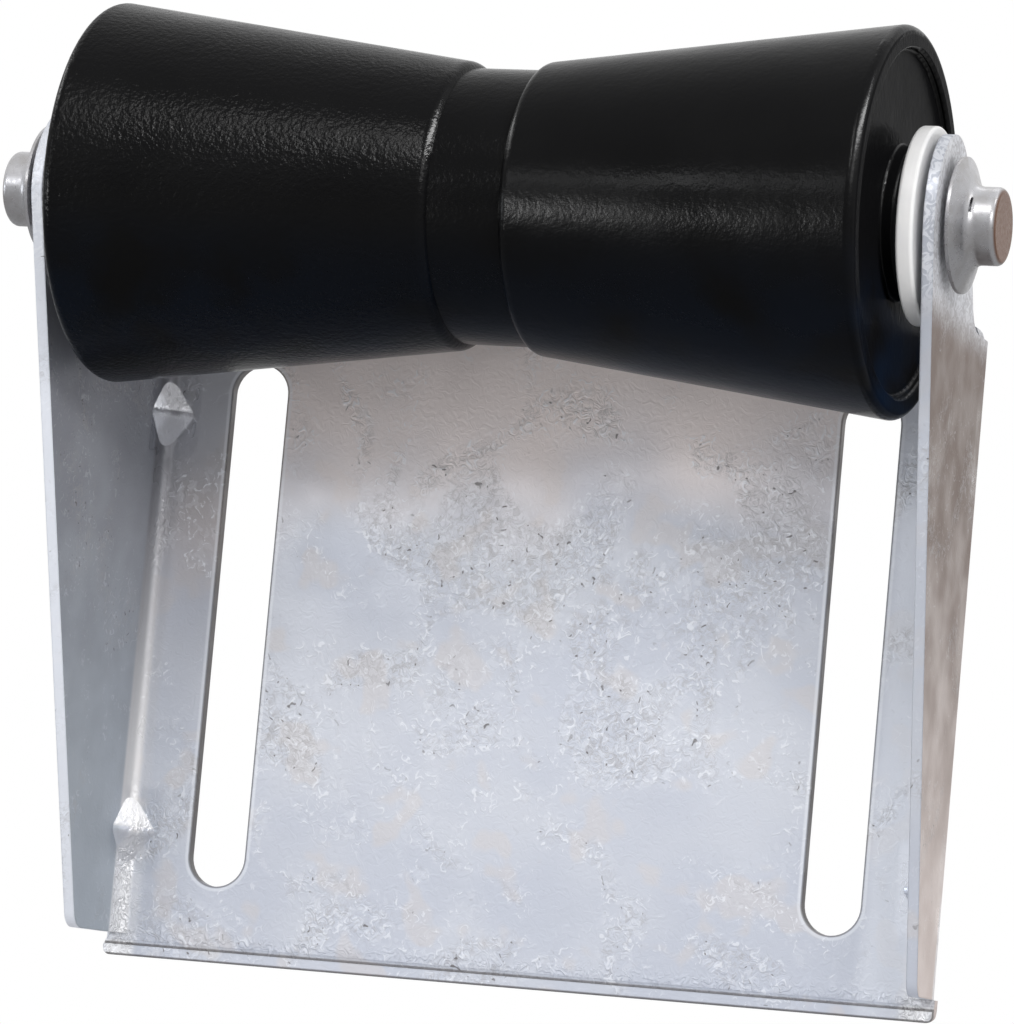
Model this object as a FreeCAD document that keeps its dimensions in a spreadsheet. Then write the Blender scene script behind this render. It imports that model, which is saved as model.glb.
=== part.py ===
import FreeCAD, Part
import Sketcher
import math
import operator
import os

# Boat trailer keel roller on a folded panel bracket.
# Millimetres. X runs along the shaft, -Y is forward (out of the plate), +Z is up.
# The origin lies on the back face of the plate, midway between the two slots.

SIZES = {
    # folded sheet
    "sheet_gauge": 2.65,
    "fold_radius": 3.4,
    "corner_radius": 4.3,
    "ear_splay": 3.86,
    "ear_rise": 5.4,
    "foot_depth": 25.2,
    "foot_radius": 4.5,
    "tip_radius": 20.4,
    "back_slope": 59.0,
    "notch_radius": 10.0,
    # slots for the fixing bolts
    "slot_width": 14.35,
    "slot_length": 127.6,
    "slot_inset": 26.75,
    "slot_rise": 18.4,
    "slot_margin": 17.8,
    # lip along the bottom edge
    "lip_reach": 4.6,
    "lip_bend": 1.2,
    "lip_corner": 1.8,
    # stamped darts that stiffen the folds
    "dart_low": 30.5,
    "dart_high": 132.7,
    "dart_reach": 7.6,
    "dart_half_height": 10.2,
    "dart_ridge_round": 2.6,
    "dart_dent": 0.5,
    "dart_dent_half_height": 3.5,
    # shaft, and its height above the plate's top edge
    "shaft_diameter": 15.88,
    "shaft_above": 14.6,
    "shaft_chamfer": 1.0,
    "shaft_drift": -1.15,
    "running_gap": 0.08,
    # moulded rubber roller
    "roller_length": 194.3,
    "rim_radius": 45.1,
    "rim_round": 2.2,
    "roller_clearance": 10.75,
    "waist_radius": 32.45,
    "neck_depth": 0.45,
    "neck_length": 17.3,
    "neck_drift": 1.45,
    "lip_radius": 2.8,
    "hub_radius": 17.5,
    "hub_proud": 1.5,
    "recess_margin": 5.6,
    "recess_depth": 2.0,
    "end_round": 0.8,
    "roller_drift": 0.6,
    # plastic thrust washers, which lean against the ears
    "washer_radius": 22.7,
    "washer_thickness": 4.0,
    "washer_round": 0.8,
    "washer_bore_gap": 0.75,
    "washer_drop": 0.55,
    "washer_lean": 1.8,
    "washer_play": 0.3,
    "roller_play": 1.67,
    # push-on caps that retain the shaft
    "cap_gauge": 0.8,
    "cap_play": 2.41,
    "cap_bore_gap": 0.16,
    "cap_length": 9.75,
    "cap_flange_radius": 15.5,
    "cap_flare": 3.4,
    "cap_flare_round": 2.6,
    "cap_end_round": 1.4,
    "cap_slit_height": 0.5,
    "cap_slit_width": 3.8,
    "cap_left_turn": 75.0,
    "cap_right_turn": -52.5,
    "cap_tab_bite": 0.05,
    "cap_end_gap": 0.1,
}

CUT_MARGIN = 3.0
SLITS = 3
SIGNS = {"+": operator.add, "-": operator.sub, "*": operator.mul, "/": operator.truediv}

doc = FreeCAD.newDocument("boat_trailer_roller")
sheet = doc.addObject("Spreadsheet::Sheet", "sizes")
for row, (alias, number) in enumerate(SIZES.items(), start=1):
    sheet.set(f"A{row}", alias.replace("_", " "))
    sheet.set(f"B{row}", str(number))
    sheet.setAlias(f"B{row}", alias)
doc.recompute()


class Formula:
    """A length in millimetres or an angle in degrees, with the sheet formula that gives it."""

    def __init__(self, number, text):
        self.number = number
        self.text = text

    def __add__(self, other):
        return joined(self, "+", other)

    def __radd__(self, other):
        return joined(other, "+", self)

    def __sub__(self, other):
        return joined(self, "-", other)

    def __rsub__(self, other):
        return joined(other, "-", self)

    def __mul__(self, other):
        return joined(self, "*", other)

    def __rmul__(self, other):
        return joined(other, "*", self)

    def __truediv__(self, other):
        return joined(self, "/", other)

    def __neg__(self):
        return joined(0, "-", self)


def as_formula(term):
    return term if isinstance(term, Formula) else Formula(float(term), repr(float(term)))


def joined(left, sign, right):
    left, right = as_formula(left), as_formula(right)
    number = SIGNS[sign](left.number, right.number)
    return Formula(number, f"({left.text} {sign} {right.text})")


def size(alias):
    return Formula(float(sheet.get(alias)), f"sizes.{alias}")


def sin(angle):
    return Formula(math.sin(math.radians(angle.number)), f"sin({angle.text})")


def cos(angle):
    return Formula(math.cos(math.radians(angle.number)), f"cos({angle.text})")


def tan(angle):
    return Formula(math.tan(math.radians(angle.number)), f"tan({angle.text})")


def arctan(ratio):
    return Formula(math.degrees(math.atan(ratio.number)), f"(atan({ratio.text}) / 1 deg)")


def arcsin(ratio):
    return Formula(math.degrees(math.asin(ratio.number)), f"(asin({ratio.text}) / 1 deg)")


def root(square):
    return Formula(math.sqrt(square.number), f"sqrt({square.text})")


def bind(thing, prop, formula):
    thing.setExpression(prop, as_formula(formula).text)


def new_body(label):
    body = doc.addObject("PartDesign::Body", label)
    body.Label = label
    return body


def new_sketch(body, name, role, offset=0.0):
    """An empty sketch on one of the body's own origin planes, moved along the plane's normal."""
    sketch = body.newObject("Sketcher::SketchObject", name)
    plane = next(item for item in body.Origin.OriginFeatures if item.Role == role)
    sketch.AttachmentSupport = (plane, [""])
    sketch.MapMode = "FlatFace"
    bind(sketch, "AttachmentOffset.Base.z", offset)
    return sketch


def constrain(sketch, kind, formula, *where):
    number = sketch.addConstraint(Sketcher.Constraint(kind, *where, as_formula(formula).number))
    bind(sketch, f"Constraints[{number}]", formula)


def pin(sketch, geometry, point, place):
    """Ties a point of the sketch to its place, measured from the sketch's origin."""
    for kind, formula in zip(("DistanceX", "DistanceY"), place):
        constrain(sketch, kind, formula, -1, 1, geometry, point)


def draw_outline(sketch, corners, arcs=None):
    """A closed outline through the corners.

    arcs maps the number of a corner to (radius, turn): the stretch from that corner to the next
    is then an arc, and turn is 1 where it runs anticlockwise or -1 where it runs clockwise.
    """
    arcs = arcs or {}
    places = [tuple(as_formula(term) for term in corner) for corner in corners]
    spots = [FreeCAD.Vector(x.number, y.number, 0) for x, y in places]
    starts = []
    for number, spot in enumerate(spots):
        after = spots[(number + 1) % len(spots)]
        if number in arcs:
            radius, turn = arcs[number]
            curve = short_arc(spot, after, as_formula(radius).number, turn)
            geometry = sketch.addGeometry(curve, False)
            starts.append((geometry, 1 if turn > 0 else 2, 2 if turn > 0 else 1))
            constrain(sketch, "Radius", radius, geometry)
        else:
            geometry = sketch.addGeometry(Part.LineSegment(spot, after), False)
            starts.append((geometry, 1, 2))
    for number, (geometry, start, _) in enumerate(starts):
        before, _, end = starts[number - 1]
        sketch.addConstraint(Sketcher.Constraint("Coincident", before, end, geometry, start))
        pin(sketch, geometry, start, places[number])


def short_arc(start, end, radius, turn):
    """The arc of that radius from start to end that turns less than half a circle, or half."""
    chord = end - start
    rise = math.sqrt(max(radius**2 - (chord.Length / 2) ** 2, 0.0))
    side = FreeCAD.Vector(-chord.y, chord.x, 0) / chord.Length
    centre = start + chord / 2 + side * rise * turn
    angles = [math.atan2(spot.y - centre.y, spot.x - centre.x) for spot in (start, end)]
    if turn < 0:
        angles.reverse()
    circle = Part.Circle(centre, FreeCAD.Vector(0, 0, 1), radius)
    return Part.ArcOfCircle(circle, angles[0], angles[1])


def add_feature(body, kind, name, sketch, **options):
    feature = body.newObject(f"PartDesign::{kind}", name)
    feature.Profile = sketch
    for prop, option in options.items():
        if isinstance(option, Formula):
            bind(feature, prop, option)
        else:
            setattr(feature, prop, option)
    sketch.Visibility = False
    return feature


def turn_outline(body, name, corners, arcs=None):
    """Turns a closed outline about the body's X axis; corners are (place along X, radius)."""
    sketch = new_sketch(body, f"{name}_section", "XY_Plane")
    draw_outline(sketch, corners, arcs)
    return add_feature(body, "Revolution", name, sketch, ReferenceAxis=(sketch, ["H_Axis"]))


def round_rings(body, name, radius, rings):
    """Rounds the circular edges that lie at the given (place along X, radius) pairs."""
    doc.recompute()
    base = body.Tip
    edges = []
    for number, edge in enumerate(base.Shape.Edges, start=1):
        if not isinstance(edge.Curve, Part.Circle):
            continue
        found = (edge.Curve.Center.x, edge.Curve.Radius)
        for place, ring in rings:
            wanted = (as_formula(place).number, as_formula(ring).number)
            if math.dist(found, wanted) < 0.01:
                edges.append(f"Edge{number}")
    if len(edges) < len(rings):
        raise ValueError(f"{name}: found {len(edges)} of {len(rings)} edges")
    fillet = body.newObject("PartDesign::Fillet", name)
    fillet.Base = (base, edges)
    bind(fillet, "Radius", radius)
    return fillet


def place_on_shaft(thing, along=0.0, turn=0.0, spin=0.0, drop=0.0):
    """Moves a turned piece to the shaft, spun about its own axis and then turned about Z."""
    angles = (as_formula(turn).number, as_formula(spin).number)
    about = FreeCAD.Rotation(FreeCAD.Vector(0, 0, 1), angles[0])
    thing.Placement.Rotation = about * FreeCAD.Rotation(FreeCAD.Vector(1, 0, 0), angles[1])
    bind(thing, "Placement.Base.x", along)
    bind(thing, "Placement.Base.y", -shaft_forward)
    bind(thing, "Placement.Base.z", shaft_height - drop)


gauge = size("sheet_gauge")
splay = size("ear_splay")
outer_bend = size("fold_radius") + gauge
plate_bottom = -(size("slot_rise") + size("slot_length") / 2)
plate_top = size("slot_length") / 2 + size("slot_margin")
ear_bottom = plate_bottom + size("ear_rise")
shaft_height = plate_top + size("shaft_above")
shaft_forward = size("rim_radius") + gauge + size("roller_clearance")
shaft_radius = size("shaft_diameter") / 2
bore_radius = shaft_radius + size("running_gap")
neck_radius = size("waist_radius") - size("neck_depth")

# Along the shaft, everything is set outwards from the roller: washer, ear, then cap.
roller_end = size("roller_length") / 2
washer_place = roller_end + size("hub_proud") + size("roller_play")
washer_face = washer_place + size("washer_thickness") * cos(size("washer_lean"))
washer_near_ear = size("washer_radius") * (tan(splay) - sin(size("washer_lean")))
ear_inside = washer_face + washer_near_ear + size("washer_play")
half_width = ear_inside + gauge / cos(splay) - shaft_forward * tan(splay)
slot_place = half_width - size("slot_inset")
ear_front = half_width + (shaft_forward + size("cap_flange_radius")) * tan(splay)
cap_place = ear_front + size("cap_play")
shaft_half = cap_place + size("cap_length") - size("cap_gauge") - size("cap_end_gap")


def fold_section(body):
    """The plate, the fold and the ear as one bent strip, padded to the full height."""
    reach = shaft_forward + size("tip_radius") + CUT_MARGIN
    bend_x = half_width - outer_bend * (1 - sin(splay)) / cos(splay)
    inner = size("fold_radius")
    ear_gauge = gauge / cos(splay)
    corners = [
        (0, 0),
        (bend_x, 0),
        (bend_x + outer_bend * cos(splay), -outer_bend + outer_bend * sin(splay)),
        (half_width + reach * tan(splay), -reach),
        (half_width + reach * tan(splay) - ear_gauge, -reach),
        (bend_x + inner * cos(splay), -outer_bend + inner * sin(splay)),
        (bend_x, -gauge),
        (0, -gauge),
    ]
    sketch = new_sketch(body, "fold_section", "XY_Plane", ear_bottom)
    draw_outline(sketch, corners, {1: (outer_bend, -1), 5: (inner, 1)})
    height = shaft_height + size("tip_radius") + CUT_MARGIN - ear_bottom
    add_feature(body, "Pad", "folded_strip", sketch, Length=height)
    return bend_x


def cut_plate_top(body, bend_x):
    """Brings the plate and the fold down to the plate's top edge, with its rounded corner."""
    corner = size("corner_radius")
    far = half_width + CUT_MARGIN * 2
    top = shaft_height + size("tip_radius") + CUT_MARGIN * 2
    corners = [
        (-CUT_MARGIN, plate_top),
        (bend_x, plate_top),
        (bend_x + corner, plate_top - corner),
        (far, plate_top - corner),
        (far, top),
        (-CUT_MARGIN, top),
    ]
    sketch = new_sketch(body, "plate_top_line", "XZ_Plane")
    draw_outline(sketch, corners, {1: (corner, -1)})
    add_feature(body, "Pocket", "plate_top", sketch, Length=outer_bend, Reversed=True)


def cut_ear_outline(body):
    """Cuts the ear to its side outline: tapered front, round tip, sloped back and notch."""
    tip = size("tip_radius")
    ahead, depth = shaft_forward, size("foot_depth")
    rise = shaft_height - ear_bottom
    lean = arctan((ahead - depth) / rise)
    taper = lean + arcsin(tip / root(rise * rise + (ahead - depth) * (ahead - depth)))
    foot = size("foot_radius") / tan((90 + taper) / 2)
    slope = size("back_slope")
    floor = plate_top - size("corner_radius")
    notch = size("notch_radius")
    tip_back = (-ahead + tip * sin(slope), shaft_height + tip * cos(slope))
    notch_up = floor + notch - tip_back[1]
    notch_y = tip_back[0] + (notch - notch_up * cos(slope)) / sin(slope)
    far = -(ahead + tip + CUT_MARGIN * 2)
    top = shaft_height + tip + CUT_MARGIN * 2
    corners = [
        (-outer_bend, floor),
        (notch_y, floor),
        (notch_y - notch * sin(slope), floor + notch - notch * cos(slope)),
        tip_back,
        (-ahead, shaft_height + tip),
        (-ahead - tip * cos(taper), shaft_height - tip * sin(taper)),
        (-depth - foot * sin(taper), ear_bottom + foot * cos(taper)),
        (-depth + foot, ear_bottom),
        (-depth + foot, ear_bottom - CUT_MARGIN),
        (far, ear_bottom - CUT_MARGIN),
        (far, top),
        (-outer_bend, top),
    ]
    arcs = {1: (notch, -1), 3: (tip, 1), 4: (tip, 1), 6: (size("foot_radius"), 1)}
    sketch = new_sketch(body, "ear_outline", "YZ_Plane")
    draw_outline(sketch, corners, arcs)
    add_feature(body, "Pocket", "ear_shape", sketch, Type="ThroughAll", Reversed=True)


def add_bottom_lip(body):
    """The strip below the ears, whose edge turns forward as a short lip."""
    inner, outer = size("lip_bend"), size("lip_bend") + gauge
    corners = [
        (0, ear_bottom),
        (-gauge, ear_bottom),
        (-gauge, plate_bottom + outer),
        (-outer, plate_bottom + gauge),
        (-size("lip_reach"), plate_bottom + gauge),
        (-size("lip_reach"), plate_bottom),
        (-outer, plate_bottom),
        (0, plate_bottom + outer),
    ]
    sketch = new_sketch(body, "lip_section", "YZ_Plane")
    draw_outline(sketch, corners, {2: (inner, 1), 6: (outer, 1)})
    add_feature(body, "Pad", "bottom_lip", sketch, Length=half_width)


def cut_lip_corner(body):
    """Rounds the lip's end."""
    corner = size("lip_corner")
    edge = half_width + CUT_MARGIN
    corners = [
        (half_width - corner, plate_bottom),
        (half_width, plate_bottom + corner),
        (edge, plate_bottom + corner),
        (edge, plate_bottom - CUT_MARGIN),
        (half_width - corner, plate_bottom - CUT_MARGIN),
    ]
    sketch = new_sketch(body, "lip_corner_line", "XZ_Plane")
    draw_outline(sketch, corners, {0: (corner, 1)})
    add_feature(body, "Pocket", "lip_end", sketch, Type="ThroughAll", Reversed=True)


def cut_slot(body):
    """The long round-ended slot for the fixing bolts."""
    radius = size("slot_width") / 2
    half_run = size("slot_length") / 2 - radius
    corners = [
        (slot_place + radius, -half_run),
        (slot_place + radius, half_run),
        (slot_place - radius, half_run),
        (slot_place - radius, -half_run),
    ]
    sketch = new_sketch(body, "slot_outline", "XZ_Plane")
    draw_outline(sketch, corners, {1: (radius, 1), 3: (radius, 1)})
    add_feature(body, "Pocket", "slot", sketch, Type="ThroughAll", Reversed=True)


def cut_shaft_hole(body):
    sketch = new_sketch(body, "shaft_hole_circle", "YZ_Plane")
    centre = FreeCAD.Vector(-shaft_forward.number, shaft_height.number, 0)
    circle = Part.Circle(centre, FreeCAD.Vector(0, 0, 1), bore_radius.number)
    geometry = sketch.addGeometry(circle, False)
    constrain(sketch, "Radius", bore_radius, geometry)
    pin(sketch, geometry, 3, (-shaft_forward, shaft_height))
    add_feature(body, "Pocket", "shaft_hole", sketch, Type="ThroughAll", Reversed=True)


def press_dart(body, name, rise):
    """A stamped dart: a ridge across the inside of the fold, and a shallow dent on the outside."""
    half_height = size("dart_half_height")
    ridge = size("dart_reach") / math.sqrt(2)
    dent = size("dart_dent")
    valley = outer_bend * (math.sqrt(2) - 1) - gauge * math.sqrt(2) + dent
    outside = gauge * math.sqrt(2) + CUT_MARGIN
    flare = size("dart_dent_half_height") * (valley + outside) / dent
    inside = {"start": 0.0, "end": ridge, "base": 1.5, "top": ridge + 0.7, "half": half_height}
    back = {"start": -outside, "end": valley, "base": 3.0, "top": valley + outside, "half": flare}
    wedges = (("AdditiveWedge", "ridge", inside), ("SubtractiveWedge", "dent", back))
    for kind, word, shape in wedges:
        wedge = body.newObject(f"PartDesign::{kind}", f"{name}_{word}")
        wedge.Placement.Rotation = FreeCAD.Rotation(FreeCAD.Vector(0, 0, 1), 135)
        bind(wedge, "Placement.Base.x", half_width + gauge * tan(splay) - gauge / cos(splay))
        bind(wedge, "Placement.Base.y", -gauge)
        bind(wedge, "Placement.Base.z", plate_bottom + rise)
        bind(wedge, "Ymin", shape["start"])
        bind(wedge, "Ymax", shape["end"])
        for prop, limit in (("X", "base"), ("Z", "half"), ("X2", "top")):
            bind(wedge, f"{prop}max", shape[limit])
            bind(wedge, f"{prop}min", 0 - as_formula(shape[limit]))
        wedge.Z2min = 0
        wedge.Z2max = 0
    round_ridge(body, f"{name}_ridge_round", plate_bottom + rise)


def round_ridge(body, name, height):
    """Rounds the level edge along the top of a dart."""
    doc.recompute()
    base = body.Tip
    edges = []
    for number, edge in enumerate(base.Shape.Edges, start=1):
        box = edge.BoundBox
        level = box.ZLength < 0.01 and abs(box.ZMin - height.number) < 0.01
        if level and box.YMax < -gauge.number + 0.01 and box.XLength > 1:
            edges.append(f"Edge{number}")
    if len(edges) != 1:
        raise ValueError(f"{name}: found {len(edges)} level edges")
    fillet = body.newObject("PartDesign::Fillet", name)
    fillet.Base = (base, edges)
    bind(fillet, "Radius", size("dart_ridge_round"))


def build_bracket():
    """One half of the folded sheet, then the whole by mirroring it."""
    half = new_body("bracket_half")
    bend_x = fold_section(half)
    cut_plate_top(half, bend_x)
    cut_ear_outline(half)
    add_bottom_lip(half)
    cut_lip_corner(half)
    cut_slot(half)
    cut_shaft_hole(half)
    press_dart(half, "low_dart", size("dart_low"))
    press_dart(half, "high_dart", size("dart_high"))
    doc.recompute()
    other = doc.addObject("Part::Mirroring", "bracket_other_half")
    other.Source = half
    other.Normal = FreeCAD.Vector(1, 0, 0)
    bracket = doc.addObject("Part::Fuse", "bracket")
    bracket.Base = half
    bracket.Tool = other
    bracket.Refine = True
    return bracket


def build_shaft():
    shaft = new_body("shaft")
    corners = [
        (-shaft_half, 0),
        (shaft_half, 0),
        (shaft_half, shaft_radius),
        (-shaft_half, shaft_radius),
    ]
    turn_outline(shaft, "rod", corners)
    doc.recompute()
    rod = shaft.Tip
    ends = []
    for number, edge in enumerate(rod.Shape.Edges, start=1):
        if isinstance(edge.Curve, Part.Circle):
            ends.append(f"Edge{number}")
    chamfer = shaft.newObject("PartDesign::Chamfer", "rod_ends")
    chamfer.Base = (rod, ends)
    bind(chamfer, "Size", size("shaft_chamfer"))
    place_on_shaft(shaft, size("shaft_drift"))
    return shaft


def lip_corners(way):
    """Where the rounded lip leaves the cone, and where it meets the neck, on one side."""
    lip = size("lip_radius")
    rise = (size("rim_radius") - size("waist_radius")) / roller_end
    slope = arctan(rise)
    root_place = size("neck_length") / 2 + way * size("neck_drift")
    # the lip is an arc tangent to the cone; its centre lies one lip radius under the cone's line
    under = size("waist_radius") - lip / cos(slope)
    centre = root_place
    for _ in range(3):
        height = neck_radius - under - rise * centre
        centre = root_place + root(lip * lip - height * height)
    leave = (centre - lip * sin(slope), under + rise * centre + lip * cos(slope))
    return leave, (root_place, neck_radius)


def build_roller():
    """Two cones that meet at a short neck, in one moulding, with a hub and a recess in each end."""
    roller = new_body("roller")
    hub, recess = size("hub_radius"), size("rim_radius") - size("recess_margin")
    floor, face = roller_end - size("recess_depth"), roller_end + size("hub_proud")
    half = [
        (face, bore_radius),
        (face, hub),
        (floor, hub),
        (floor, recess),
        (roller_end, recess),
        (roller_end, size("rim_radius")),
    ]
    right_lip, left_lip = lip_corners(1), lip_corners(-1)
    corners = half + list(right_lip)
    corners += [(-x, radius) for x, radius in reversed(half + list(left_lip))]
    first = len(half)
    arcs = {first: (size("lip_radius"), 1), first + 2: (size("lip_radius"), 1)}
    turn_outline(roller, "moulding", corners, arcs)
    rims = [(roller_end * way, size("rim_radius")) for way in (1, -1)]
    round_rings(roller, "rims", size("rim_round"), rims)
    end_rings = [(roller_end, recess), (floor, recess), (floor, hub), (face, hub)]
    end_rings += [(-x, radius) for x, radius in end_rings]
    round_rings(roller, "end_rings", size("end_round"), end_rings)
    place_on_shaft(roller, size("roller_drift"))
    return roller


def build_washer(side, way):
    """A thrust washer; it hangs loose on the shaft and leans against the splayed ear."""
    washer = new_body(f"washer_{side}")
    thick, radius = size("washer_thickness"), size("washer_radius")
    bore = shaft_radius + size("washer_bore_gap")
    turn_outline(washer, "disc", [(0, bore), (0, radius), (thick, radius), (thick, bore)])
    round_rings(washer, "edges", size("washer_round"), [(0, radius), (thick, radius)])
    lean = size("washer_lean")
    turn = lean if way > 0 else 180 - lean
    place_on_shaft(washer, way * washer_place, turn, 0, size("washer_drop"))
    return washer


def build_cap(side, way):
    """A push-on cap: a dished flange that flares into a closed cylinder with lanced tabs."""
    cap = new_body(f"cap_{side}")
    wall = size("cap_gauge")
    inside = shaft_radius + size("cap_bore_gap")
    radius = inside + wall
    flange, flare, length = size("cap_flange_radius"), size("cap_flare"), size("cap_length")
    corners = [
        (0, flange),
        (wall, flange),
        (flare, radius),
        (length, radius),
        (length, 0),
        (length - wall, 0),
        (length - wall, inside),
        (flare - wall, inside),
    ]
    turn_outline(cap, "shell", corners)
    round_rings(cap, "flare_root", size("cap_flare_round"), [(flare, radius)])
    round_rings(cap, "shell_end", size("cap_end_round"), [(length, radius)])
    cut_slits(cap, flare, radius, wall)
    along = size("shaft_drift") + way * cap_place
    place_on_shaft(cap, along, 0 if way > 0 else 180, size(f"cap_{side}_turn"))
    return cap


def cut_slits(cap, flare, radius, wall):
    """Lances one slit with its tab bent in on the shaft, and repeats it round the cap."""
    half = size("cap_slit_width") / 2
    start = flare + 0.2
    opening = new_sketch(cap, "slit_line", "XY_Plane")
    corners = [
        (start, -half),
        (start + size("cap_slit_height"), -half),
        (start + size("cap_slit_height"), half),
        (start, half),
    ]
    draw_outline(opening, corners)
    slit = add_feature(cap, "Pocket", "slit", opening, Length=radius + 1, Reversed=True)
    doc.recompute()
    hold = new_sketch(cap, "tab_line", "XY_Plane", shaft_radius - size("cap_tab_bite"))
    corners = [
        (start + size("cap_slit_height"), -half),
        (start + size("cap_slit_height") + wall, -half),
        (start + size("cap_slit_height") + wall, half),
        (start + size("cap_slit_height"), half),
    ]
    draw_outline(hold, corners)
    height = radius - wall / 2 - shaft_radius + size("cap_tab_bite")
    tab = add_feature(cap, "Pad", "tab", hold, Length=height)
    doc.recompute()
    pattern = cap.newObject("PartDesign::PolarPattern", "slits")
    pattern.Originals = [slit, tab]
    axis = next(item for item in cap.Origin.OriginFeatures if item.Role == "X_Axis")
    pattern.Axis = (axis, [""])
    pattern.Angle = 360
    pattern.Occurrences = SLITS
    cap.Tip = pattern


parts = [build_bracket(), build_shaft(), build_roller()]
for side, way in (("left", -1), ("right", 1)):
    parts += [build_washer(side, way), build_cap(side, way)]
doc.recompute()

for thing in doc.Objects:
    if "Invalid" in thing.State or "Error" in thing.State:
        raise RuntimeError(f"{thing.Label} could not be built")
os.makedirs("parts", exist_ok=True)
for part in parts:
    if part.Shape.isNull() or not part.Shape.isValid() or len(part.Shape.Solids) != 1:
        raise RuntimeError(f"{part.Label} is not one valid solid")
    part.Shape.exportStep(os.path.join("parts", f"{part.Label}.step"))
    box = part.Shape.BoundBox
    print(f"{part.Label}: {part.Shape.Volume / 1000:.2f} cm3,", box)
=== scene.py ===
import math

import bmesh
import bpy
from mathutils import Matrix, Vector

# Looks of the boat trailer roller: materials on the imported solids, studio light and camera.
# Metres, in the row frame: X along the shaft, -Y forward, +Z up.

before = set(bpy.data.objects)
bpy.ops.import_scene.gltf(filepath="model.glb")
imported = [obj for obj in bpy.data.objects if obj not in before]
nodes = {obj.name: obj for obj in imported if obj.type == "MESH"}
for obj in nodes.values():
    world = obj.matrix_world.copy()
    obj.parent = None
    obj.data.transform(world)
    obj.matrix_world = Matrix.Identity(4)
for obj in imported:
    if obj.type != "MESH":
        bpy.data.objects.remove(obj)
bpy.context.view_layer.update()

PLATE_BOTTOM = -0.0822
LOW_DART = -0.0517
HIGH_DART = 0.0505
SLOT_PLACE = 0.0774
SLOT_HALF_RUN = 0.056625
SLOT_RADIUS = 0.007175
CAP_MIDDLE = -0.00115
CAP_END = 0.1213

# Camera, found from the photograph's edges.
CAMERA_TARGET = Vector((-0.01219, 0.0, 0.03149))
CAMERA_DISTANCE = 1.42605
CAMERA_AZIMUTH = math.radians(19.29)
CAMERA_ELEVATION = math.radians(-5.48)
CAMERA_ROLL = math.radians(5.15)
CAMERA_LENS_MM = 208.55
SENSOR_MM = 36.0

# Lamps: name, azimuth and elevation from the object, distance, width, height, watts, colour.
LAMPS = (
    ("key_top", -5.0, 42.0, 1.5, 0.30, 0.22, 4.0, (1.0, 0.99, 0.98)),
    ("key_right", 38.0, 20.0, 1.6, 0.70, 0.30, 7.8, (1.0, 0.99, 0.98)),
    ("key_left", -33.0, 14.5, 1.5, 0.50, 0.10, 2.3, (0.98, 0.99, 1.0)),
    ("side_left", -66.0, 0.0, 1.5, 0.40, 0.25, 3.0, (0.92, 0.96, 1.0)),
    ("glint_right", 88.0, 48.0, 1.5, 0.10, 0.14, 1.5, (1.0, 1.0, 1.0)),
    ("top_back", 175.0, 60.0, 1.5, 0.90, 0.40, 1.0, (1.0, 1.0, 1.0)),
)
# Small lamps that only light the rubber, whose skin shows them as soft highlights.
RUBBER_LAMPS = (
    ("left_cone", 3.0, 31.0, 1.5, 0.12, 0.20, 7.0, (1.0, 1.0, 1.0)),
    ("right_cone", -38.0, -5.0, 1.5, 0.24, 0.22, 12.0, (1.0, 1.0, 1.0)),
    ("rims", 66.0, 38.0, 1.5, 1.20, 0.30, 108.0, (1.0, 1.0, 1.0)),
    ("lips", -80.0, 36.0, 1.5, 0.90, 0.30, 11.0, (1.0, 1.0, 1.0)),
)
WORLD_FILL = 0.50
# Places where the zinc is roughest: the middle, the radius and how much rougher.
ROUGH_PATCHES = (
    ((-0.024, -0.0026, 0.028), 0.030, 0.22),
    ((0.004, -0.0026, 0.014), 0.030, 0.18),
    ((0.044, -0.0026, 0.018), 0.032, 0.22),
    ((0.060, -0.0026, 0.028), 0.018, 0.22),
    ((0.028, -0.0026, -0.020), 0.032, 0.12),
    ((-0.066, -0.0026, -0.022), 0.016, 0.14),
)
FLOOR_SIZE = 8.0
FLOOR_GAP = 0.0002

# The zinc's textures, in features per metre, and how far the flakes' outlines wander in metres.
CLOUD_SCALE = 20.0
PATCH_SCALE = 38.0
MOTTLE_SCALE = 60.0
WANDER_SCALE = 340.0
WANDER = 0.0036
PIT_SCALE = 420.0
CRINKLE_SCALE = 480.0
FLAKE_SCALE = 800.0
# Heights in metres that a full step of each skin's relief stands for.
ZINC_RELIEF = 0.00028
RUBBER_RELIEF = 0.0003
PLASTIC_RELIEF = 0.00004
PLATED_RELIEF = 0.00005
# Radii in metres by which shading rounds the sheet's and the plated pieces' sharp edges.
SHEET_EDGE = 0.0006
PLATED_EDGE = 0.0003
# The zinc's textures lie in the sheet's own two directions.
FLAT_NOISE = {"noise_dimensions": "2D"}
FLAT_CELLS = {"voronoi_dimensions": "2D"}

# Colours of the zinc, some of them painted light and shade.
COOL = (0.560, 0.590, 0.670, 1.0)
PALE = (0.620, 0.645, 0.710, 1.0)
# Paler warm zone under the roller: painted light that lifts the roller's shade, with a painted warm
# reflection.
WARM_PAINTED_LIGHT = (0.880, 0.800, 0.785, 1.0)
STAIN = (0.700, 0.630, 0.580, 1.0)
# Darker patch on the plate's right part: painted shade.
SHADE_PATCH = (0.46, 0.47, 0.52, 1.0)
# Warm patch on the left strip: painted warm reflected light.
WARM_BOUNCE = (0.60, 0.50, 0.45, 1.0)
# Strips beside the folds: painted light on the right one, painted shade of the left ear on the left
# one.
RIGHT_STRIP_LIGHT = (0.78, 0.81, 0.88, 1.0)
LEFT_STRIP_SHADE = (0.40, 0.40, 0.43, 1.0)
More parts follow.
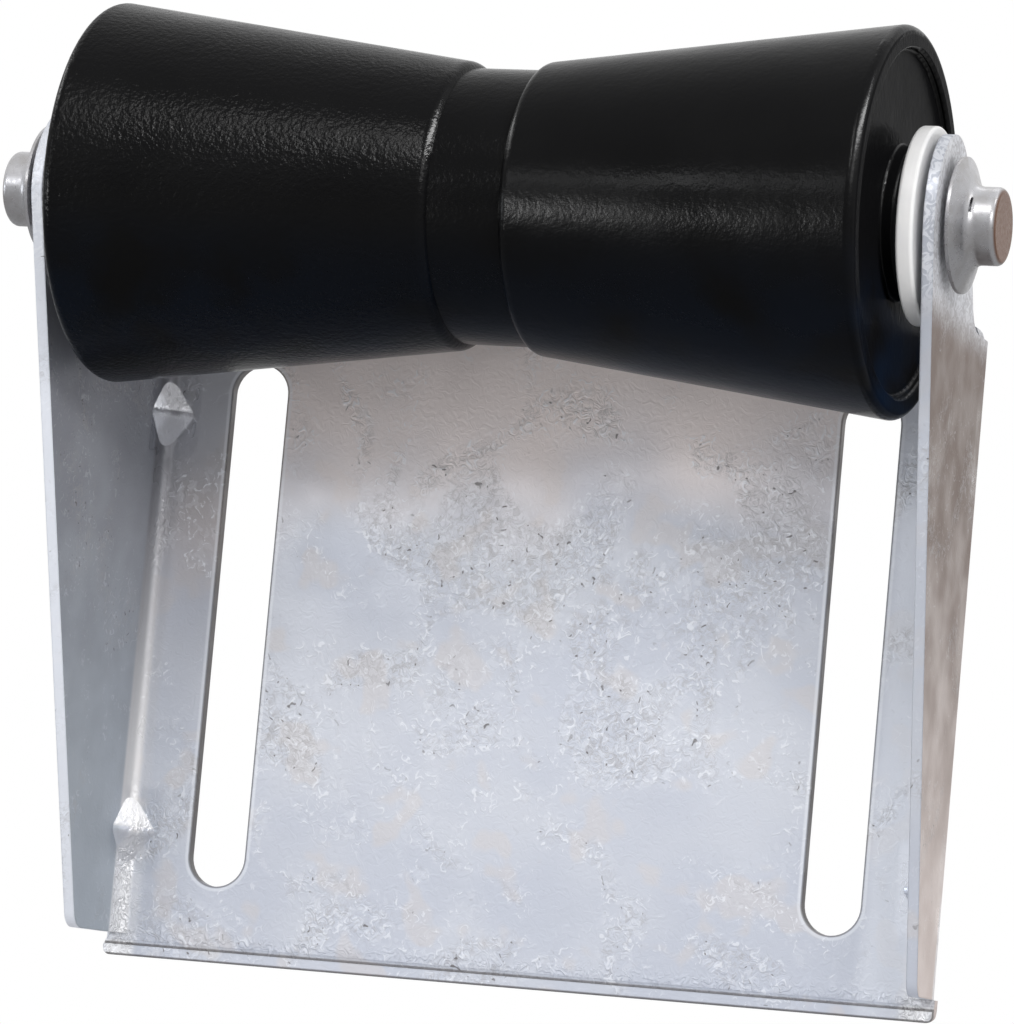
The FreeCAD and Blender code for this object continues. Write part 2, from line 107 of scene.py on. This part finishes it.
# Ears' edges: painted shade on the right ear, darker towards the top; painted light on the left
# ear.
RIGHT_EAR_EDGE_SHADE = (0.46, 0.485, 0.545, 1.0)
LEFT_EAR_EDGE_LIGHT = (0.80, 0.83, 0.90, 1.0)
# Ears' outer sides: painted shade and warm reflection, dark brown at the top to lit pink at the
# bottom.
SHADED_BROWN = (0.150, 0.105, 0.085, 1.0)
LIT_PINK = (0.700, 0.610, 0.580, 1.0)
EAR_TIP = (0.50, 0.50, 0.53, 1.0)
# Ears' inner sides: painted shade, dark slate at the top under the roller, lighter at the bottom.
LIT_SLATE = (0.440, 0.485, 0.530, 1.0)
SHADED_SLATE = (0.280, 0.290, 0.325, 1.0)
DULL = (0.40, 0.39, 0.40, 1.0)
DARK = (0.13, 0.12, 0.12, 1.0)
BRIGHT = (0.86, 0.88, 0.93, 1.0)
# Folds: painted shade at the top, painted light at the bottom.
FOLD_SHADED = (0.20, 0.20, 0.22, 1.0)
FOLD_LIT = (0.84, 0.82, 0.81, 1.0)
# Zinc beads in the low corners; their white is partly a painted highlight of their shine.
BEADED_SHINE = (0.92, 0.93, 0.96, 1.0)
# Darts: painted light on the upward facets, painted shade on the downward ones.
DART_LIT = (0.94, 0.94, 0.95, 1.0)
DART_SHADED = (0.52, 0.53, 0.57, 1.0)
# Dark painted shade in the slots' walls and rims, the crease above the lip and under the lip.
PAINTED_SHADE = (0.085, 0.075, 0.070, 1.0)
# Colours of the rubber, the washers and the plated pieces.
BLACK = (0.0010, 0.0010, 0.0011, 1.0)
# Painted bluish reflection on the rubber's lower part.
NAVY_REFLECTION = (0.0010, 0.0022, 0.0050, 1.0)
WHITE = (0.90, 0.90, 0.90, 1.0)
OFF_WHITE = (0.85, 0.85, 0.86, 1.0)
CAP_PLATE = (0.50, 0.50, 0.52, 1.0)
CAP_DULL = (0.40, 0.39, 0.39, 1.0)
# Painted shade on the caps' undersides.
CAP_SHADED_UNDERSIDE = (0.10, 0.10, 0.11, 1.0)
CAP_TARNISH = (0.13, 0.055, 0.025, 1.0)
SHAFT_PLATE = (0.60, 0.60, 0.62, 1.0)
SHAFT_DULL = (0.52, 0.52, 0.54, 1.0)
FLOOR_GREY = (0.86, 0.86, 0.86, 1.0)


def slot_distance(tree, off_middle, up):
    """How far a place on the plate is outside the rim of its slot, in metres."""
    sideways = combine(tree, "SUBTRACT", off_middle, SLOT_PLACE)
    lengthways = combine(tree, "SUBTRACT", combine(tree, "ABSOLUTE", up), SLOT_HALF_RUN)
    lengthways = combine(tree, "MAXIMUM", lengthways, 0.0)
    squares = total(tree, product(tree, sideways, sideways), product(tree, lengthways, lengthways))
    return combine(tree, "SUBTRACT", combine(tree, "SQRT", squares), SLOT_RADIUS)


def new_material(name):
    """A material with only a Principled shader, and the shader itself."""
    material = bpy.data.materials.new(name)
    material.use_nodes = True
    tree = material.node_tree
    tree.nodes.clear()
    shader = tree.nodes.new("ShaderNodeBsdfPrincipled")
    output = tree.nodes.new("ShaderNodeOutputMaterial")
    tree.links.new(shader.outputs["BSDF"], output.inputs["Surface"])
    return material, shader


def add_node(tree, kind, settings=None, **inputs):
    """Adds a node; inputs take a number or colour, or another node's output to link."""
    node = tree.nodes.new(kind)
    for name, value in (settings or {}).items():
        setattr(node, name, value)
    for name, value in inputs.items():
        plug(tree, node.inputs[name.replace("_", " ")], value)
    return node


def plug(tree, socket, value):
    if isinstance(value, bpy.types.NodeSocket):
        tree.links.new(value, socket)
    else:
        socket.default_value = value


def object_coords(tree):
    """Object coordinates in metres."""
    return tree.nodes.new("ShaderNodeTexCoord").outputs["Object"]


def object_normal(tree):
    """The way a face points, in the object's own directions."""
    return tree.nodes.new("ShaderNodeTexCoord").outputs["Normal"]


def split(tree, vector):
    """The X, Y and Z of a vector."""
    node = add_node(tree, "ShaderNodeSeparateXYZ", Vector=vector)
    return node.outputs["X"], node.outputs["Y"], node.outputs["Z"]


def noise(tree, coords, scale, detail, roughness, distortion=0.0, settings=None):
    """The value of a noise texture, with its scale in features per metre."""
    node = add_node(
        tree,
        "ShaderNodeTexNoise",
        settings,
        Vector=coords,
        Scale=scale,
        Detail=detail,
        Roughness=roughness,
        Distortion=distortion,
    )
    return node.outputs["Fac"]


def ramp(tree, value, low, high, start=0.0, end=1.0):
    """Maps low..high of a value to start..end, smoothly and clamped."""
    node = add_node(
        tree, "ShaderNodeMapRange", {"interpolation_type": "SMOOTHSTEP"}, Value=value
    )
    plug(tree, node.inputs["From Min"], low)
    plug(tree, node.inputs["From Max"], high)
    plug(tree, node.inputs["To Min"], start)
    plug(tree, node.inputs["To Max"], end)
    return node.outputs["Result"]


def combine(tree, operation, first, second=0.0):
    """One arithmetic step on one or two values."""
    node = tree.nodes.new("ShaderNodeMath")
    node.operation = operation
    plug(tree, node.inputs[0], first)
    plug(tree, node.inputs[1], second)
    return node.outputs["Value"]


def product(tree, *values):
    """All the values multiplied together."""
    result = values[0]
    for value in values[1:]:
        result = combine(tree, "MULTIPLY", result, value)
    return result


def total(tree, *values):
    """The sum of the values."""
    result = values[0]
    for value in values[1:]:
        result = combine(tree, "ADD", result, value)
    return result


def mix_colour(tree, factor, first, second):
    """Blends two colours by a factor."""
    node = tree.nodes.new("ShaderNodeMix")
    node.data_type = "RGBA"
    plug(tree, node.inputs["Factor"], factor)
    plug(tree, node.inputs[6], first)
    plug(tree, node.inputs[7], second)
    return node.outputs[2]


def dots(tree, coords, scale, radius, share):
    """Round dots in a scattered share of cells; scale in cells per metre, radius in cells."""
    cells = add_node(tree, "ShaderNodeTexVoronoi", FLAT_CELLS, Vector=coords, Scale=scale)
    picked = add_node(tree, "ShaderNodeSeparateColor", Color=cells.outputs["Color"])
    near = ramp(tree, cells.outputs["Distance"], radius, radius * 0.4)
    return product(tree, near, ramp(tree, picked.outputs["Red"], 1.0 - share, 1.02 - share))


def threads(tree, value, width):
    """Thin winding lines along the middle level of a noise."""
    off = combine(tree, "ABSOLUTE", combine(tree, "SUBTRACT", value, 0.5))
    return ramp(tree, off, width, 0.0)


def warped(tree, coords, scale, amount):
    """Coordinates shaken by a noise, by up to half the amount in metres."""
    shake = add_node(
        tree, "ShaderNodeTexNoise", FLAT_NOISE, Vector=coords, Scale=scale, Detail=1.0
    )
    centred = add_node(tree, "ShaderNodeVectorMath", {"operation": "SUBTRACT"})
    plug(tree, centred.inputs[0], shake.outputs["Color"])
    plug(tree, centred.inputs[1], (0.5, 0.5, 0.5))
    moved = add_node(tree, "ShaderNodeVectorMath", {"operation": "MULTIPLY_ADD"})
    plug(tree, moved.inputs[0], centred.outputs["Vector"])
    plug(tree, moved.inputs[1], (amount, amount, amount))
    plug(tree, moved.inputs[2], coords)
    return moved.outputs["Vector"]


def chips(tree, coords, scale):
    """Angular flakes: a random level for each, and how near its rim is."""
    cells = add_node(tree, "ShaderNodeTexVoronoi", FLAT_CELLS, Vector=coords, Scale=scale)
    level = add_node(tree, "ShaderNodeSeparateColor", Color=cells.outputs["Color"])
    return level.outputs["Red"], ramp(tree, cells.outputs["Distance"], 0.50, 0.80)


def near_height(tree, up, height):
    """1 within the half height of a dart from its middle, fading out beyond."""
    off = combine(tree, "ABSOLUTE", combine(tree, "SUBTRACT", up, height))
    return ramp(tree, off, 0.012, 0.009)


def around(tree, coords, place, radius):
    """1 at a place, fading to 0 at a radius in metres."""
    off = add_node(tree, "ShaderNodeVectorMath", {"operation": "DISTANCE"})
    plug(tree, off.inputs[0], coords)
    plug(tree, off.inputs[1], place)
    return ramp(tree, off.outputs["Value"], radius, 0.0)


def bump(tree, height, distance, strength=1.0, normal=None):
    """A bump whose height of 1 stands for the given distance in metres."""
    node = add_node(tree, "ShaderNodeBump", Height=height, Distance=distance, Strength=strength)
    if normal is not None:
        tree.links.new(normal, node.inputs["Normal"])
    return node.outputs["Normal"]


def soft_edges(tree, radius):
    """Normals that round the solid's sharp edges by a radius in metres."""
    node = add_node(tree, "ShaderNodeBevel", {"samples": 2}, Radius=radius)
    return node.outputs["Normal"]


def zinc_material():
    """Hot-dip zinc: cloudy lavender grey, crinkled and pitted in patches, beaded at the bottom,
    with light and shade painted in zones.
    """
    material, shader = new_material("hot_dip_zinc")
    tree = material.node_tree
    coords = object_coords(tree)
    across, ahead, up = split(tree, coords)
    facing, _, upward = split(tree, object_normal(tree))
    downward = product(tree, upward, -1.0)
    off_middle = combine(tree, "ABSOLUTE", across)
    outward = product(tree, facing, combine(tree, "SIGN", across))
    on_ear = ramp(tree, off_middle, 0.1000, 0.1015)
    ear_outside = product(tree, on_ear, ramp(tree, outward, 0.5, 0.8))
    ear_inside = product(tree, on_ear, ramp(tree, outward, -0.5, -0.8))
    slot_wall = product(
        tree,
        ramp(tree, combine(tree, "ABSOLUTE", facing), 0.3, 0.6),
        ramp(tree, off_middle, 0.095, 0.093),
    )

    # The sheet's own flat coordinates: they run on from the plate round the fold into the ears.
    sheet = add_node(tree, "ShaderNodeCombineXYZ", X=combine(tree, "ADD", across, ahead), Y=up)
    sheet = sheet.outputs["Vector"]
    clouds = noise(tree, sheet, CLOUD_SCALE, 2.0, 0.55, 0.0, FLAT_NOISE)
    mottle = noise(tree, sheet, MOTTLE_SCALE, 2.0, 0.6, 0.0, FLAT_NOISE)
    crinkle = noise(tree, sheet, CRINKLE_SCALE, 2.0, 0.6, 1.2, FLAT_NOISE)
    shaken = warped(tree, sheet, WANDER_SCALE, WANDER)
    flake, rim = chips(tree, shaken, FLAKE_SCALE)

    patches = noise(tree, sheet, PATCH_SCALE, 2.0, 0.6, 1.0, FLAT_NOISE)
    for place, radius, amount in ROUGH_PATCHES:
        patches = total(tree, patches, product(tree, around(tree, coords, place, radius), amount))
    rough_patch = ramp(tree, patches, 0.50, 0.74)

    colour = mix_colour(tree, ramp(tree, clouds, 0.36, 0.66), COOL, PALE)
    colour = mix_colour(tree, product(tree, ramp(tree, mottle, 0.56, 0.66), 0.30), colour, STAIN)
    # Paler and warmer towards the top of the plate's middle: painted light and painted warm
    # reflection under the roller.
    height = total(tree, up, product(tree, combine(tree, "SUBTRACT", clouds, 0.5), 0.04))
    inner = ramp(tree, off_middle, 0.088, 0.070)
    colour = mix_colour(tree, product(tree, ramp(tree, height, 0.022, 0.058), inner), colour, WARM_PAINTED_LIGHT)
    # Painted shade: a soft darker patch on the plate's right part.
    shade_patch = product(tree, around(tree, coords, (0.063, -0.0026, 0.034), 0.036), 0.55)
    colour = mix_colour(tree, shade_patch, colour, SHADE_PATCH)
    # Painted warm reflected light on the left strip, below the roller's shadow.
    warm_bounce = product(tree, around(tree, coords, (-0.088, -0.0026, 0.026), 0.024), 0.7)
    colour = mix_colour(tree, warm_bounce, colour, WARM_BOUNCE)
    # Painted light on the right strip, painted shade of the left ear on the left strip.
    painted_strip = product(tree, ramp(tree, across, 0.083, 0.088), ramp(tree, off_middle, 0.103, 0.100))
    colour = mix_colour(tree, product(tree, painted_strip, 0.6), colour, RIGHT_STRIP_LIGHT)
    painted_strip = product(tree, ramp(tree, across, -0.078, -0.088), ramp(tree, up, -0.040, 0.050))
    colour = mix_colour(tree, product(tree, painted_strip, 0.7), colour, LEFT_STRIP_SHADE)
    # Painted shade on the right ear, darker towards the top, and painted light on the left ear.
    painted_edge = product(tree, on_ear, ramp(tree, across, 0.0, 0.01), ramp(tree, up, -0.070, 0.010))
    colour = mix_colour(tree, product(tree, painted_edge, 0.7), colour, RIGHT_EAR_EDGE_SHADE)
    painted_edge = product(tree, on_ear, ramp(tree, across, 0.0, -0.01))
    colour = mix_colour(tree, product(tree, painted_edge, 0.8), colour, LEFT_EAR_EDGE_LIGHT)

    # Painted light and shade on the ears' sides, darker towards the top.
    light_rise = ramp(tree, total(tree, up, product(tree, mottle, 0.05)), -0.070, 0.085)
    side = mix_colour(tree, light_rise, LIT_PINK, SHADED_BROWN)
    side = mix_colour(tree, ramp(tree, up, 0.070, 0.082), side, EAR_TIP)
    colour = mix_colour(tree, ear_outside, colour, side)
    # Painted shade on the ears' inner sides, darker towards the top.
    colour = mix_colour(tree, ear_inside, colour, mix_colour(tree, light_rise, LIT_SLATE, SHADED_SLATE))

    before_plate = product(
        tree, ramp(tree, ahead, -0.0025, -0.0029), ramp(tree, ahead, -0.0078, -0.0062)
    )
    low_corner = product(
        tree,
        ramp(tree, off_middle, 0.095, 0.098),
        ramp(tree, up, -0.050, -0.060),
        before_plate,
    )
    rough_patch = product(tree, rough_patch, combine(tree, "SUBTRACT", 1.0, low_corner))
    low_flake = product(tree, ramp(tree, flake, 0.70, 0.95), rough_patch)
    high_flake = product(tree, ramp(tree, flake, 0.35, 0.10), ramp(tree, patches, 0.40, 0.66))
    high_flake = product(tree, high_flake, combine(tree, "SUBTRACT", 1.0, on_ear))
    veins = product(tree, threads(tree, crinkle, 0.04), rough_patch)
    colour = mix_colour(tree, product(tree, low_flake, 0.34), colour, DULL)
    colour = mix_colour(tree, product(tree, high_flake, 0.24), colour, BRIGHT)
    colour = mix_colour(tree, product(tree, rim, rough_patch, 0.25), colour, DULL)
    colour = mix_colour(tree, product(tree, veins, 0.50), colour, DULL)
    specks = product(tree, ramp(tree, crinkle, 0.63, 0.69), ramp(tree, patches, 0.42, 0.54))
    specks = product(tree, specks, ramp(tree, on_ear, 0.0, 1.0, 0.55, 0.18))
    colour = mix_colour(tree, specks, colour, BRIGHT)
    pits = dots(tree, shaken, PIT_SCALE, 0.17, 0.16)
    pits = product(tree, pits, ramp(tree, patches, 0.50, 0.66, 0.08, 1.0))
    colour = mix_colour(tree, product(tree, pits, 0.85), colour, DARK)

    in_fold = product(
        tree,
        ramp(tree, off_middle, 0.0955, 0.0980),
        ramp(tree, off_middle, 0.1040, 0.1025),
        before_plate,
    )
    # Painted shade and light in the folds: dark at the top, bright at the bottom.
    fold_shade = mix_colour(tree, ramp(tree, up, 0.040, -0.062), FOLD_SHADED, FOLD_LIT)
    colour = mix_colour(tree, product(tree, in_fold, 0.7), colour, fold_shade)
    # Zinc beads in the low corners, whitened partly as a painted highlight.
    colour = mix_colour(tree, product(tree, low_corner, 0.7), colour, BEADED_SHINE)
    # Painted highlight: bright mottles on the ears' tops.
    tip_highlight = product(tree, on_ear, ramp(tree, up, 0.070, 0.084), ramp(tree, crinkle, 0.42, 0.58))
    colour = mix_colour(tree, product(tree, tip_highlight, 0.6), colour, BRIGHT)

    on_dart = combine(
        tree,
        "MAXIMUM",
        near_height(tree, up, LOW_DART),
        near_height(tree, up, HIGH_DART),
    )
    on_dart = product(
        tree,
        on_dart,
        ramp(tree, off_middle, 0.092, 0.094),
        ramp(tree, ahead, -0.012, -0.010),
    )
    # Painted light on the darts' upward facets and painted shade on the downward ones.
    facet = product(
        tree,
        on_dart,
        ramp(tree, upward, 0.15, 0.35),
        ramp(tree, up, 0.0, -0.01, 0.20, 0.75),
    )
    colour = mix_colour(tree, facet, colour, DART_LIT)
    facet = product(tree, on_dart, ramp(tree, downward, 0.15, 0.35))
    colour = mix_colour(tree, product(tree, facet, 0.5), colour, DART_SHADED)
    from_slot = slot_distance(tree, off_middle, up)
    # Painted shade and highlight along the slots' rims: a dark line at the edge, a light line just
    # outside it.
    slot_rim_shade = product(
        tree, ramp(tree, from_slot, -0.0002, 0.0), ramp(tree, from_slot, 0.0005, 0.0002)
    )
    slot_rim_highlight = product(
        tree, ramp(tree, from_slot, 0.0003, 0.0006), ramp(tree, from_slot, 0.0014, 0.0009)
    )
    colour = mix_colour(tree, product(tree, slot_rim_highlight, 0.45), colour, BRIGHT)
    # Painted shade: the slots' walls, the crease above the lip, the slots' rims and the lip's
    # underside.
    facing_down = ramp(tree, downward, 0.5, 0.8)
    at_crease = product(
        tree,
        ramp(tree, up, -0.0787, -0.0791),
        ramp(tree, ahead, -0.0046, -0.0040),
        ramp(tree, ahead, -0.0024, -0.0028),
    )
    shade_marks = combine(tree, "MAXIMUM", product(tree, slot_wall, 0.9), product(tree, at_crease, 0.75))
    shade_marks = combine(tree, "MAXIMUM", shade_marks, product(tree, slot_rim_shade, 0.6))
    lip_edge = product(tree, ramp(tree, ahead, -0.0043, -0.0045), ramp(tree, up, -0.0815, -0.0819))
    under_lip = product(tree, facing_down, ramp(tree, up, -0.0815, -0.0820))
    under_lip = combine(tree, "MAXIMUM", lip_edge, under_lip)
    shade_marks = combine(tree, "MAXIMUM", shade_marks, product(tree, under_lip, 0.80))
    colour = mix_colour(tree, shade_marks, colour, PAINTED_SHADE)
    tree.links.new(colour, shader.inputs["Base Color"])

    above_lip = product(
        tree, ramp(tree, up, -0.0735, -0.0775), ramp(tree, ahead, -0.0046, -0.0040)
    )
    shader.inputs["Specular IOR Level"].default_value = 0.35
    gloss = ramp(tree, mottle, 0.3, 0.7, 0.36, 0.50)
    polish = combine(tree, "MAXIMUM", in_fold, on_dart)
    plug(tree, shader.inputs["Roughness"], total(tree, gloss, product(tree, polish, -0.10)))
    plug(tree, shader.inputs["Metallic"], ramp(tree, on_dart, 0.0, 1.0, 0.28, 0.60))

    lumps = ramp(tree, crinkle, 0.44, 0.60)
    beads = total(tree, product(tree, low_corner, 1.2), product(tree, above_lip, 0.7))
    relief = total(tree, product(tree, mottle, 0.5), crinkle, product(tree, lumps, beads))
    rough = ramp(tree, patches, 0.50, 0.70, 0.25, 0.80)
    rough = combine(tree, "MAXIMUM", rough, ramp(tree, beads, 0.0, 1.0, 0.0, 0.8))
    rounded = soft_edges(tree, SHEET_EDGE)
    tree.links.new(bump(tree, relief, ZINC_RELIEF, rough, rounded), shader.inputs["Normal"])
    return material


def rubber_material():
    """Moulded black rubber: a fine orange-peel skin, coarser on the left cone."""
    material, shader = new_material("black_rubber")
    tree = material.node_tree
    coords = object_coords(tree)
    across, _, up = split(tree, coords)
    facing, _, _ = split(tree, object_normal(tree))
    end_face = ramp(tree, combine(tree, "ABSOLUTE", facing), 0.85, 0.97)
    skin = noise(tree, coords, 820.0, 2.0, 0.6)
    waves = noise(tree, coords, 45.0, 3.0, 0.5)
    # Painted bluish reflection in patches on the roller's lower part.
    underside_reflection = product(tree, ramp(tree, waves, 0.30, 0.60), ramp(tree, up, 0.090, 0.056))
    colour = mix_colour(tree, underside_reflection, BLACK, NAVY_REFLECTION)
    tree.links.new(colour, shader.inputs["Base Color"])
    plug(tree, shader.inputs["Roughness"], ramp(tree, waves, 0.3, 0.7, 0.18, 0.26))
    plug(tree, shader.inputs["Specular IOR Level"], ramp(tree, end_face, 0.0, 1.0, 0.050, 0.005))
    coarse = ramp(tree, across, 0.020, -0.030, 0.20, 0.60)
    relief = total(tree, product(tree, skin, coarse), waves)
    tree.links.new(bump(tree, relief, RUBBER_RELIEF), shader.inputs["Normal"])
    return material


def plastic_material():
    """White satin plastic of the thrust washers."""
    material, shader = new_material("white_plastic")
    tree = material.node_tree
    coords = object_coords(tree)
    cloud = noise(tree, coords, 120.0, 3.0, 0.5)
    colour = mix_colour(tree, ramp(tree, cloud, 0.4, 0.7), WHITE, OFF_WHITE)
    tree.links.new(colour, shader.inputs["Base Color"])
    plug(tree, shader.inputs["Roughness"], ramp(tree, cloud, 0.3, 0.7, 0.36, 0.48))
    scuffs = noise(tree, coords, 700.0, 3.0, 0.6)
    tree.links.new(bump(tree, scuffs, PLASTIC_RELIEF), shader.inputs["Normal"])
    return material


def plated_material(name, colour, dull_colour, roughness, end_place=None):
    """Bright zinc plate; with end_place, painted shade on the underside and tarnished brown on the
    closed end.
    """
    material, shader = new_material(name)
    tree = material.node_tree
    coords = object_coords(tree)
    cloud = noise(tree, coords, 150.0, 5.0, 0.6, 0.4)
    grain = noise(tree, coords, 900.0, 3.0, 0.6)
    tint = mix_colour(tree, ramp(tree, cloud, 0.38, 0.68), colour, dull_colour)
    if end_place is not None:
        across, _, _ = split(tree, coords)
        _, _, upward = split(tree, object_normal(tree))
        # Painted shade: darker towards the underside.
        underside_shade = ramp(tree, upward, 0.5, -0.3, 0.0, 0.5)
        tint = mix_colour(tree, underside_shade, tint, CAP_SHADED_UNDERSIDE)
        off_middle = combine(tree, "ABSOLUTE", combine(tree, "SUBTRACT", across, CAP_MIDDLE))
        end = ramp(tree, off_middle, end_place - 0.0006, end_place)
        tint = mix_colour(tree, end, tint, CAP_TARNISH)
        plug(tree, shader.inputs["Specular IOR Level"], ramp(tree, end, 0.0, 1.0, 0.5, 0.1))
    tree.links.new(tint, shader.inputs["Base Color"])
    shader.inputs["Metallic"].default_value = 0.8
    plug(tree, shader.inputs["Roughness"], ramp(tree, grain, 0.3, 0.7, roughness, roughness + 0.12))
    rounded = soft_edges(tree, PLATED_EDGE)
    tree.links.new(bump(tree, cloud, PLATED_RELIEF, 1.0, rounded), shader.inputs["Normal"])
    return material


def dress(node, material):
    """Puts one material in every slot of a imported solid."""
    slots = nodes[node].material_slots
    if len(slots) == 0:
        raise ValueError(f"{node} has no material slot")
    for slot in slots:
        slot.material = material


def make_floor():
    """A pale floor that can be seen and lights only from above."""
    mesh = bpy.data.meshes.new("floor")
    shape = bmesh.new()
    level = Matrix.Translation((0.0, 0.0, PLATE_BOTTOM - FLOOR_GAP))
    bmesh.ops.create_grid(shape, x_segments=1, y_segments=1, size=FLOOR_SIZE / 2, matrix=level)
    shape.to_mesh(mesh)
    shape.free()
    floor = bpy.data.objects.new("floor", mesh)
    bpy.context.scene.collection.objects.link(floor)
    material, shader = new_material("pale_floor")
    tree = material.node_tree
    shader.inputs["Base Color"].default_value = FLOOR_GREY
    shader.inputs["Roughness"].default_value = 0.8
    shader.inputs["Specular IOR Level"].default_value = 0.1
    below = tree.nodes.new("ShaderNodeNewGeometry").outputs["Backfacing"]
    clear = tree.nodes.new("ShaderNodeBsdfTransparent").outputs["BSDF"]
    one_sided = tree.nodes.new("ShaderNodeMixShader")
    plug(tree, one_sided.inputs[0], below)
    plug(tree, one_sided.inputs[1], shader.outputs["BSDF"])
    plug(tree, one_sided.inputs[2], clear)
    output = next(node for node in tree.nodes if node.type == "OUTPUT_MATERIAL")
    tree.links.new(one_sided.outputs["Shader"], output.inputs["Surface"])
    mesh.materials.append(material)


def make_world():
    """White to the camera and in reflections, a plain fill for everything else."""
    world = bpy.data.worlds.new("studio")
    world.use_nodes = True
    tree = world.node_tree
    background = tree.nodes["Background"]
    background.inputs["Color"].default_value = (1.0, 1.0, 1.0, 1.0)
    path = tree.nodes.new("ShaderNodeLightPath")
    seen = combine(tree, "MAXIMUM", path.outputs["Is Camera Ray"], path.outputs["Is Glossy Ray"])
    seen = combine(tree, "MAXIMUM", seen, path.outputs["Is Transmission Ray"])
    strength = ramp(tree, seen, 0.0, 1.0, WORLD_FILL, 1.0)
    tree.links.new(strength, background.inputs["Strength"])
    bpy.context.scene.world = world


def make_lamps(rows, receivers=None):
    """Rectangular lamps, for everything or only for the receivers."""
    for name, azimuth, elevation, distance, width, height, watts, colour in rows:
        lamp = bpy.data.lights.new(name, "AREA")
        lamp.shape = "RECTANGLE"
        lamp.size = width
        lamp.size_y = height
        lamp.energy = watts
        lamp.color = colour
        holder = bpy.data.objects.new(name, lamp)
        bpy.context.scene.collection.objects.link(holder)
        way = sight_line(math.radians(azimuth), math.radians(elevation))
        holder.location = CAMERA_TARGET + way * distance
        holder.rotation_euler = way.to_track_quat("Z", "Y").to_euler()
        if receivers is not None:
            holder.light_linking.receiver_collection = receivers
            holder.light_linking.blocker_collection = receivers


def sight_line(azimuth, elevation):
    """The direction from the object; azimuth turns from the front towards the right."""
    return Vector((
        math.sin(azimuth) * math.cos(elevation),
        -math.cos(azimuth) * math.cos(elevation),
        math.sin(elevation),
    ))


def make_camera():
    """The photograph's viewpoint: its own azimuth, elevation, roll and distance."""
    sight = sight_line(CAMERA_AZIMUTH, CAMERA_ELEVATION)
    level = Vector((0.0, 0.0, 1.0)).cross(sight).normalized()
    upright = sight.cross(level)
    right = level * math.cos(CAMERA_ROLL) + upright * math.sin(CAMERA_ROLL)
    up = upright * math.cos(CAMERA_ROLL) - level * math.sin(CAMERA_ROLL)
    camera = bpy.data.cameras.new("photo_camera")
    camera.lens = CAMERA_LENS_MM
    camera.sensor_width = SENSOR_MM
    camera.sensor_fit = "AUTO"
    camera.clip_start = 0.05
    camera.clip_end = 50.0
    holder = bpy.data.objects.new("photo_camera", camera)
    bpy.context.scene.collection.objects.link(holder)
    pose = Matrix((right, up, sight)).transposed().to_4x4()
    pose.translation = CAMERA_TARGET + sight * CAMERA_DISTANCE
    holder.matrix_world = pose
    bpy.context.scene.camera = holder


dress("bracket", zinc_material())
dress("roller", rubber_material())
plastic = plastic_material()
dress("washer_left", plastic)
dress("washer_right", plastic)
plated = plated_material("plated_cap", CAP_PLATE, CAP_DULL, 0.26, CAP_END)
dress("cap_left", plated)
dress("cap_right", plated)
bright = plated_material("plated_shaft", SHAFT_PLATE, SHAFT_DULL, 0.24)
dress("shaft", bright)

make_floor()
make_world()
make_lamps(LAMPS)
rubber_parts = bpy.data.collections.new("rubber_parts")
rubber_parts.objects.link(nodes["roller"])
make_lamps(RUBBER_LAMPS, rubber_parts)
make_camera()
bpy.context.scene.view_settings.view_transform = "Standard"
